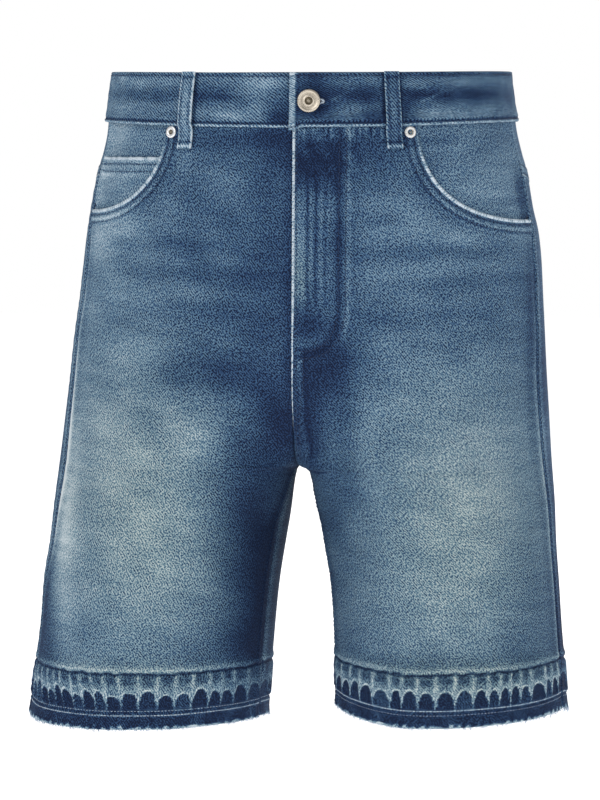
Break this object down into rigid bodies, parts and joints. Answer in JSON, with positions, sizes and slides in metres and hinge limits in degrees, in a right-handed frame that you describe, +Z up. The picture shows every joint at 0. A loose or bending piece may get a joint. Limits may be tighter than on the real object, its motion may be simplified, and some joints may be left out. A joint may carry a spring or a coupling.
{
  "type": "denim shorts",
  "caption": "Knee-length denim shorts filled out as if worn, with a lapped waistband, scooped front pockets, yokes, patch back pockets and a let-down raw hem.",
  "frame": {"origin": "middle of the waist opening, level with the top edge of the waistband at the centre back", "axes": "+Z up, -Y the wearer's front, +X the wearer's left"},
  "size_m": [0.4073, 0.2484, 0.4856],
  "materials": {
    "denim": "stonewashed indigo twill, worn pale on the thighs, seams and edges",
    "denim_dark": "indigo twill, unworn, behind the fly",
    "nickel": "nickel-plated brass, brushed and rubbed"
  },
  "bodies": {
    "root": {"front_left": "denim", "front_right": "denim", "back_left": "denim", "back_right": "denim", "yoke_left": "denim", "yoke_right": "denim", "back_pocket_left": "denim", "back_pocket_right": "denim", "pocket_facing_left": "denim", "pocket_facing_right": "denim", "coin_pocket": "denim", "fly_facing": "denim_dark", "fly_shield": "denim_dark", "waistband": "denim", "belt_loop_1": "denim", "belt_loop_2": "denim", "belt_loop_3": "denim", "belt_loop_4": "denim", "belt_loop_5": "denim", "waist_button": "nickel", "rivet_left": "nickel", "rivet_right": "nickel"}
  },
  "joints": []
}
